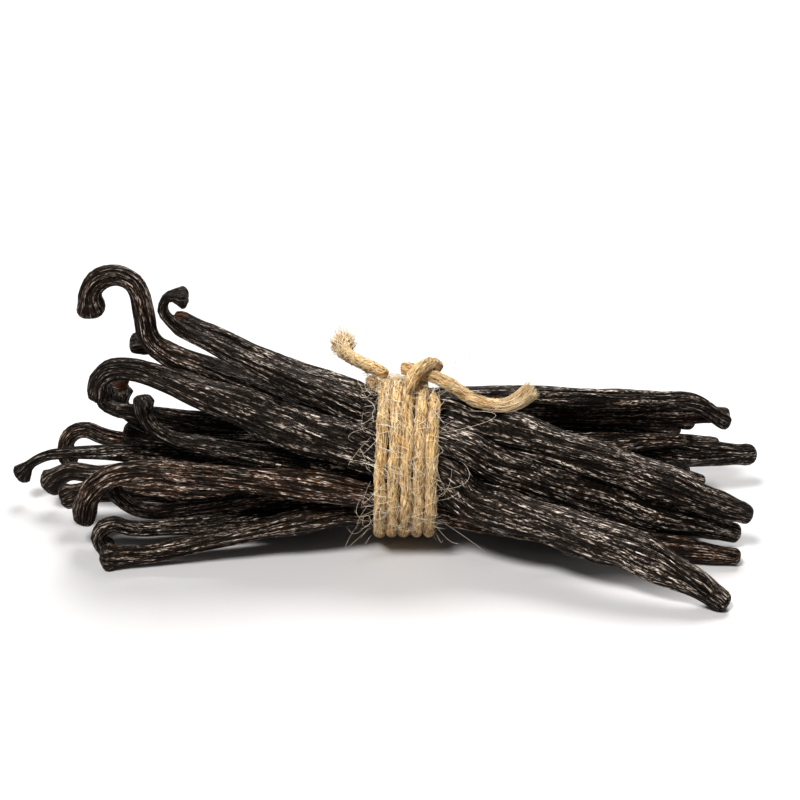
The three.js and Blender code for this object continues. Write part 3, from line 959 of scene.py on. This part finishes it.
@dataclass
class LaidTwine:
    """A length of three-ply twine along a line."""

    line: SectionLine
    seed: int
    plies: int = 3
    ply_radius: float = 1.05
    ply_offset: float = 0.38
    lay: float = 9.5
    ply_sides: int = 10
    ring_step: float = 0.55
    # How far the twine strays from its line, over what length, and where its random values start.
    wander: float = 0.22
    wander_length: float = 4.5
    wander_seed: int = 90
    # How much the plies vary in thickness, by small lumps and over longer stretches.
    lumps: float = 0.17
    lump_length: float = 1.6
    thick: float = 0.15
    thick_length: float = 3.5
    fray: Fray | None = None
    # How far a frayed end's plies open, as a share of its fibres' spread, and over what length.
    opening: float = 0.15
    spread_length: float = 5.0
    # Ends that are tucked away grow thin over this length, down to this share.
    thin_ends: float = 0.0
    tucked: float = 0.12
    # Each twine, and each ply of it, reads its streaks this far from the last one's.
    twine_gap: float = 37.0
    ply_gap: float = 11.0

    def __post_init__(self) -> None:
        """Sample the line and carry two directions across it along it, without twisting them."""
        count = max(8, round(self.line.length / self.ring_step))
        self.distance = np.linspace(0, self.line.length, count)
        self.centre, _, _, self.along = self.line.at(self.distance)
        self.across = np.zeros_like(self.centre)
        side = unit(np.cross(self.along[0], np.array(OFF_TWINE)))
        for i, along in enumerate(self.along):
            side = unit(side - along * side.dot(along))
            self.across[i] = side
        self.beside = np.cross(self.along, self.across)
        rng = np.random.default_rng(self.wander_seed + self.seed)
        wander = SkinNoise(rng, self.line.length / self.wander_length, 4)
        share = self.distance / self.line.length
        for way, turn in ((self.across, 0.0), (self.beside, 0.5)):
            self.centre = self.centre + way * (self.wander * wander.at(share, share * 0 + turn))[:, None]

    def ply_point(self, at: np.ndarray, ply: int, turn: np.ndarray, lift: np.ndarray) -> np.ndarray:
        """Find points on or above a ply's skin.

        Args:
            at: Distances along the twine.
            ply: Which ply.
            turn: The angle round the ply, 0 facing out.
            lift: How far above the ply's middle.

        Returns:
            The points.
        """
        across, beside = self._read(self.across, at), self._read(self.beside, at)
        angle = -2 * np.pi * (at / self.lay + ply / self.plies)
        out = across * np.cos(angle)[..., None] + beside * np.sin(angle)[..., None]
        side = -across * np.sin(angle)[..., None] + beside * np.cos(angle)[..., None]
        opened = self.ply_offset * self._whole(at) + self._open_by(at)
        return (
            self._read(self.centre, at) + out * opened[..., None]
            + (out * np.cos(turn)[..., None] + side * np.sin(turn)[..., None]) * lift[..., None]
        )

    def round_point(self, at: np.ndarray, turn: np.ndarray, lift: np.ndarray) -> np.ndarray:
        """Find points round the twine's middle.

        Args:
            at: Distances along the twine.
            turn: The angles round it.
            lift: How far from its middle.

        Returns:
            The points.
        """
        across, beside = self._read(self.across, at), self._read(self.beside, at)
        out = across * np.cos(turn)[:, None] + beside * np.sin(turn)[:, None]
        return self._read(self.centre, at) + out * lift[:, None]

    def _open_by(self, at: np.ndarray) -> np.ndarray:
        """How far the plies stand apart near a frayed end.

        Args:
            at: Distances along the twine.

        Returns:
            The extra distance from the middle.
        """
        if not self.fray:
            return np.zeros_like(at)
        near_end = smooth_step(1 - (self.line.length - at) / self.spread_length)
        return self.opening * self.fray.spread * near_end

    def _whole(self, at: np.ndarray) -> np.ndarray:
        """How much of its thickness the twine keeps near ends that are tucked away.

        Args:
            at: Distances along the twine.

        Returns:
            The share of the thickness, 1 away from the ends.
        """
        if not self.thin_ends:
            return np.ones_like(at)
        clear = smooth_step(np.minimum(at, self.line.length - at) / self.thin_ends)
        return self.tucked + (1 - self.tucked) * clear

    def _read(self, values: np.ndarray, at: np.ndarray) -> np.ndarray:
        """Read values, one row for each sample of the line, at distances along the twine."""
        return np.stack([np.interp(at, self.distance, column) for column in values.T], axis=-1)

    def sheets(self) -> tuple[list[np.ndarray], list[np.ndarray]]:
        """Make the plies' tubes.

        Returns:
            The rings of points of each ply, and the yarn coordinates that go with them.
        """
        rng = np.random.default_rng(self.seed)
        tubes, marks = [], []
        count = len(self.distance)
        share = np.linspace(0, 1, count)[:, None]
        turns = np.arange(self.ply_sides)[None, :] / self.ply_sides
        at = np.repeat(self.distance[:, None], self.ply_sides, axis=1)
        turn = np.repeat(2 * np.pi * turns, count, axis=0)
        # The plies' own twist turns their fibres back, so they run along the twine.
        back = turn - at * 2 * np.pi / self.lay * (1 + self.ply_offset / self.ply_radius)
        for ply in range(self.plies):
            lumps = SkinNoise(rng, self.line.length / self.lump_length, 5).at(share, turns)
            thick = SkinNoise(rng, self.line.length / self.thick_length, 2).at(share, turns * 0)
            lift = self.ply_radius * (1 + self.lumps * lumps + self.thick * thick)
            lift = lift * self._whole(self.distance)[:, None]
            lift[0] = lift[-1] = 0
            points = self.ply_point(at, ply, turn, lift)
            points[0], points[-1] = points[0].mean(0), points[-1].mean(0)
            tubes.append(points)
            start = self.twine_gap * self.seed + self.ply_gap * ply
            across, beside = np.cos(back) * self.ply_radius, np.sin(back) * self.ply_radius
            marks.append(np.stack([at + start, across, beside], axis=-1))
        return tubes, marks


@dataclass(frozen=True)
class FibreBrush:
    """Thin jute fibres: each is a three-sided hair, thickest in its middle, that fades to points."""

    sides: int = 3

    def hair(self, path: np.ndarray, radius: float, blunt: float = 0.35) -> np.ndarray:
        """Make one hair along a path.

        Args:
            path: The points it follows.
            radius: Its thickest radius.
            blunt: How thick its ends stay, as a share.

        Returns:
            Rings of points, with a single point at each end.
        """
        along = unit(np.gradient(path, axis=0))
        side = unit(np.cross(along, np.array(OFF_HAIR)))[:, None]
        other = np.cross(along, side[:, 0])[:, None]
        turn = (2 * np.pi * np.arange(self.sides) / self.sides)[None, :, None]
        share = np.linspace(0, 1, len(path))
        thick = radius * (blunt + (1 - blunt) * np.sin(np.pi * share))
        thick[0] = thick[-1] = 0
        ring = side * np.cos(turn) + other * np.sin(turn)
        return path[:, None] + ring * thick[:, None, None]

    @staticmethod
    def marks(hairs: list[np.ndarray], rng: np.random.Generator) -> list[np.ndarray]:
        """Give each hair yarn coordinates of its own, the same all over it."""
        return [np.broadcast_to(rng.uniform(0, 400, 3), hair.shape).copy() for hair in hairs]


@dataclass
class TwineTie:
    """The tie: five turns of twine, the knot on top of them, the two tails and all loose fibres."""

    solids: dict[str, bpy.types.Object]
    solid_sides: int = 8
    seed: int = 5
    brush: FibreBrush = FibreBrush()
    surface_fibres: int = 4300
    tail_fibres: int = 420
    stray_fibres: int = 58
    crossing_fibres: int = 520
    fibre_radius: float = 0.075
    stray_radius: float = 0.05
    # The share of the fibres that lie along the plies. The others run along the twine.
    along_plies: float = 0.45
    tail_diameter: float = 2.9
    table_gap: float = 0.15
    tails: dict[str, Fray] = field(
        default_factory=lambda: {
            "twine_tail_left": Fray(460, 6.5, 2.4), "twine_tail_right": Fray(200, 1.6, 1.1)
        }
    )

    def build(self) -> list[bpy.types.Object]:
        """Make the tails first, then the turns, the knot and the fibres.

        Returns:
            The pieces.
        """
        yarn = JuteYarn("spun_jute_yarn", "#fbe6ba", "#cfa667", "#4e3216").build()
        hair = JuteYarn("loose_jute_fibre", "#fff5e0", "#ecd09c", "#a17a45", 0.3).build()
        # The loose fibres that stand off the tie get the palest colours of all.
        palest_fibre = JuteYarn("palest_jute_fibre", "#fffaf0", "#f1e6d0", "#c9b48c", 0.3).build()
        rng = np.random.default_rng(self.seed)
        laid = {
            name: LaidTwine(self._outward(name), i, fray=fray)
            for i, (name, fray) in enumerate(self.tails.items(), start=1)
        }
        laid["twine_wraps"] = LaidTwine(self._line("twine_wraps"), 3, ply_radius=0.98, thin_ends=6.5)
        laid["twine_knot"] = LaidTwine(self._line("twine_knot"), 4, thin_ends=3.0)
        pieces = []
        for name, twine in laid.items():
            tubes, marks = twine.sheets()
            piece = wrap_sheets(f"jute_{name}", tubes, {YARN_POINTS: marks})
            place_piece(piece, TWINE_SLOT, yarn, name)
            pieces.append(piece)
            if twine.fray:
                fibres = self._fibres(f"jute_{name}_fibres", [twine], self.tail_fibres, hair, rng)
                self._declare_tail(twine)
                pieces.append(fibres)
        covered = [laid["twine_wraps"], laid["twine_knot"]]
        pieces.append(self._fibres("jute_surface_fibres", covered, self.surface_fibres, hair, rng))
        pieces.append(self._strays(palest_fibre, rng))
        return pieces

    def _line(self, name: str) -> SectionLine:
        """Read a twine solid's line."""
        return SectionLine.of_node(self.solids[name], self.solid_sides)

    def _outward(self, name: str) -> SectionLine:
        """Read a tail's line from its end at the knot.

        Args:
            name: The tail's solid.

        Returns:
            Its line.
        """
        line = self._line(name)
        starts_at_knot = abs(line.centres[0][0]) <= abs(line.centres[-1][0])
        return line if starts_at_knot else line.reversed()

    def _declare_tail(
        self, twine: LaidTwine
    ) -> None:
        """Pick about thirty points along a tail's centre line, and keep none of them.

        Args:
            twine: How it is laid.
        """
        path = twine.centre[:: max(1, len(twine.centre) // 30)]
        path = np.vstack([path, twine.centre[-1]])

    def _laid_fibres(
        self, twine: LaidTwine, count: int, rng: np.random.Generator
    ) -> list[np.ndarray]:
        """Lay fibres along a twine and its plies, with ends that lift off.

        Args:
            twine: The twine.
            count: How many fibres.
            rng: The source of random values.

        Returns:
            The fibres' rings of points.
        """
        hairs = []
        share = np.linspace(-1, 1, 7)
        around = twine.ply_radius + 0.8 * twine.ply_offset
        for _ in range(count):
            length = rng.uniform(2, 7)
            start = rng.uniform(0, max(0.1, twine.line.length - length))
            at = np.linspace(start, min(start + length, twine.line.length), len(share))
            rise = 0.03 + rng.uniform(0.0, 0.6) * np.abs(share) ** 4
            if rng.random() < self.along_plies:
                turn = rng.uniform(-1.5, 1.5) + rng.uniform(-1.7, 1.7) * share
                ply = int(rng.integers(twine.plies))
                path = twine.ply_point(at, ply, turn, twine.ply_radius * 1.02 + rise)
            else:
                turn = rng.uniform(0, 2 * np.pi) + rng.uniform(-0.7, 0.7) * share
                path = twine.round_point(at, turn, around + rise)
            hairs.append(self.brush.hair(path, self.fibre_radius * rng.uniform(0.6, 1.3)))
        return hairs

    def _tuft(self, twine: LaidTwine, rng: np.random.Generator) -> list[np.ndarray]:
        """Fray a tail's cut end.

        Args:
            twine: The tail.
            rng: The source of random values.

        Returns:
            The fibres' rings of points.
        """
        hairs = []
        for _ in range(twine.fray.fibres):
            first = twine.line.length - rng.uniform(3, 13)
            last = twine.line.length + twine.fray.reach * rng.beta(1.4, 2.0)
            at = np.linspace(first, last, 10)
            grow = (at - first) / (last - first)
            inside = np.minimum(at, twine.line.length - 0.05)
            turn = rng.uniform(0, 2 * np.pi) + rng.uniform(-1.6, 1.6) * grow
            lift = twine.ply_radius * rng.uniform(0.4, 1.5)
            lift = lift + twine.fray.spread * rng.uniform(0, 1) ** 0.6 * grow**1.5
            path = twine.round_point(inside, turn, lift)
            path += twine.along[-1] * (at - inside)[:, None]
            path[:, 2] += rng.uniform(-0.2, 0.6) * (at - inside)
            hairs.append(self.brush.hair(path, self.fibre_radius * rng.uniform(0.9, 1.8)))
        return hairs

    def _fibres(
        self, name: str, twines: list[LaidTwine], count: int, hair: bpy.types.Material,
        rng: np.random.Generator,
    ) -> bpy.types.Object:
        """Cover lengths of twine in fibres, and fray the ends of the tails.

        Args:
            name: The piece's name.
            twines: The lengths of twine.
            count: How many fibres lie on them in all.
            hair: The fibres' finish.
            rng: The source of random values.

        Returns:
            The piece.
        """
        hairs = []
        total = sum(twine.line.length for twine in twines)
        for twine in twines:
            hairs += self._laid_fibres(twine, round(count * twine.line.length / total), rng)
            if twine.fray:
                hairs += self._tuft(twine, rng)
        return self._hair_piece(name, hairs, hair, rng)

    def _hair_piece(
        self, name: str, hairs: list[np.ndarray], hair: bpy.types.Material, rng: np.random.Generator
    ) -> bpy.types.Object:
        """Join hairs in one piece and dress it.

        Args:
            name: The piece's name.
            hairs: The hairs' rings of points.
            hair: Their finish.
            rng: The source of random values.

        Returns:
            The piece.
        """
        piece = wrap_sheets(name, hairs, {YARN_POINTS: self.brush.marks(hairs, rng)})
        place_piece(piece, TWINE_SLOT, hair)
        return piece

    def _strays(self, hair: bpy.types.Material, rng: np.random.Generator) -> bpy.types.Object:
        """Curl loose fibres off both edges of the tie and lay others across its turns.

        Args:
            hair: The fibres' finish.
            rng: The source of random values.

        Returns:
            The piece.
        """
        low, high = (np.array(corner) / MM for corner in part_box("twine_wraps"))
        middle, size = (low + high) / 2, high - low
        ring = size[2] / 2
        hairs = []
        share = np.linspace(0, 1, 16)
        arch = np.sin(np.pi * share)
        for _ in range(self.stray_fibres):
            # It leaves an edge of the tie, reaches out over the pods and curls back.
            side = rng.choice([-1, 1])
            # The pods fan out more on the left of the tie, and the fibres there rise with them.
            flare = 0.85 if side < 0 else 0.5
            reach = rng.gamma(2.0, 1.6) + 0.6
            angle = rng.uniform(-0.35, 1.15) * np.pi
            swing = rng.uniform(0.1, 0.4) * rng.choice([-1, 1]) * share
            swing = swing + rng.uniform(-0.15, 0.15) * arch
            out = reach * np.sin(share * rng.uniform(0.4, 1.0) * np.pi)
            x = middle[0] + side * (size[0] / 2 - 1.4 + out)
            radius = ring - 0.2 + flare * np.maximum(0, out - 1.0) + rng.uniform(0.1, 2.2) * arch**2
            hairs.append(self._round_tie(middle, x, angle + swing, radius, rng))
        share = np.linspace(-1, 1, 10)
        arch = 1 - share**2
        for _ in range(self.crossing_fibres):
            # It lies across the turns at any slant, a little bowed.
            half_length = rng.uniform(0.8, 3.0)
            lean = rng.uniform(0, np.pi)
            bow = rng.uniform(-0.8, 0.8) * arch
            x = middle[0] + rng.uniform(-0.5, 0.5) * size[0] + half_length * np.cos(lean) * share + bow
            around = rng.uniform(-0.2, 1.1) * np.pi + half_length * np.sin(lean) * share / ring
            radius = ring + 0.15 + rng.uniform(0, 0.7) * arch
            hairs.append(self._round_tie(middle, x, around, radius, rng))
        return self._hair_piece("jute_stray_fibres", hairs, hair, rng)

    def _round_tie(
        self, middle: np.ndarray, x: np.ndarray, turn: np.ndarray, radius: np.ndarray,
        rng: np.random.Generator,
    ) -> np.ndarray:
        """Make a loose fibre that curls round the tie, above the table.

        Args:
            middle: The tie's middle.
            x: Places along the bundle.
            turn: Angles round the tie, 0 at the front.
            radius: Distances from the tie's axis.
            rng: The source of random values.

        Returns:
            The fibre's rings of points.
        """
        y = middle[1] - radius * np.cos(turn)
        z = np.maximum(middle[2] + radius * np.sin(turn), self.table_gap)
        path = np.stack([x, y, z], axis=-1)
        return self.brush.hair(path, self.stray_radius * rng.uniform(0.7, 1.25), 0.6)


# ---- Studio ------------------------------------------------------------------------------------


@dataclass(frozen=True)
class SoftLight:
    """A broad soft light that reaches the whole table evenly.

    Its place is the direction that it comes from, and its spread how wide it looks, in degrees.
    """

    name: str
    place: tuple[float, float, float]
    spread: float
    power: float

    def hang(self) -> None:
        """Add the light to the scene."""
        lamp = bpy.data.objects.new(self.name, bpy.data.lights.new(self.name, "SUN"))
        lamp.data.angle = math.radians(self.spread)
        lamp.data.energy = self.power
        lamp.location = self.place
        lamp.rotation_euler = (-Vector(self.place)).to_track_quat("-Z", "Y").to_euler()
        bpy.context.scene.collection.objects.link(lamp)


@dataclass
class Studio:
    """A white table under soft light, with the camera a little above the bundle."""

    lens: float = 85.0
    sensor: float = 36.0
    distance: float = 434.4
    elevation: float = 25.0
    aim: tuple[float, float, float] = (-0.6, 0.0, 14.4)
    floor_half: float = 4.0
    lights: tuple[SoftLight, ...] = (
        SoftLight("light_over", (0.12, 0.5, 0.62), 32, 2.6),
        SoftLight("light_front", (-0.25, -0.35, 0.7), 18, 3.1),
    )
    room: str = "#f4f4f6"
    room_strength: float = 0.2

    def build_camera(self) -> None:
        """Point the camera at a place above the tie's middle."""
        low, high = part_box("twine_wraps")
        target = (low + high) / 2 + Vector(self.aim) * MM
        tilt = math.radians(self.elevation)
        camera = bpy.data.objects.new("camera", bpy.data.cameras.new("camera"))
        camera.data.lens = self.lens
        camera.data.sensor_width = self.sensor
        camera.data.clip_start = 0.01
        camera.location = target + Vector((0, -math.cos(tilt), math.sin(tilt))) * self.distance * MM
        camera.rotation_euler = (math.pi / 2 - tilt, 0, 0)
        bpy.context.scene.collection.objects.link(camera)
        bpy.context.scene.camera = camera

    def build_light(self) -> None:
        """Light the bundle from above and behind, and from above in front, in a pale room."""
        for light in self.lights:
            light.hang()
        world = bpy.data.worlds.new("pale_room")
        world.use_nodes = True
        background = world.node_tree.nodes["Background"]
        background.inputs["Color"].default_value = linear(self.room)
        background.inputs["Strength"].default_value = self.room_strength
        bpy.context.scene.world = world
        bpy.context.scene.view_settings.view_transform = "Standard"
        bpy.context.scene.view_settings.look = "Medium High Contrast"

    def build_floor(self) -> None:
        """Lay a pale table top under the bundle."""
        sheet = bmesh.new()
        bmesh.ops.create_grid(sheet, x_segments=2, y_segments=2, size=self.floor_half)
        mesh = bpy.data.meshes.new("table_top")
        sheet.to_mesh(mesh)
        sheet.free()
        table = bpy.data.objects.new("table_top", mesh)
        bpy.context.scene.collection.objects.link(table)
        mesh.materials.append(self._laminate())

    @staticmethod
    def _laminate() -> bpy.types.Material:
        """Make white laminate, with a faint unevenness that keeps it from looking like a cut-out.

        Returns:
            The material.
        """
        nodes = NodeSheet("white_laminate")
        uneven = nodes.add("TexNoise", {"Scale": 3.0, "Detail": 2.0})
        shades = {0: uneven, 6: linear("#c8c6c5"), 7: linear("#cbc9c8")}
        shade = nodes.add("Mix", shades, 2, data_type="RGBA")
        return nodes.finish({"Base Color": shade, "Roughness": 0.55})


def main() -> None:
    """Build the studio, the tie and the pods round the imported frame."""
    logging.basicConfig(level=logging.INFO, format="%(message)s")
    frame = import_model()
    studio = Studio()
    studio.build_camera()
    TwineTie(frame["nodes"]).build()
    PodBundle(frame["nodes"]).build()
    studio.build_light()
    studio.build_floor()


if __name__ == "__main__":
    main()
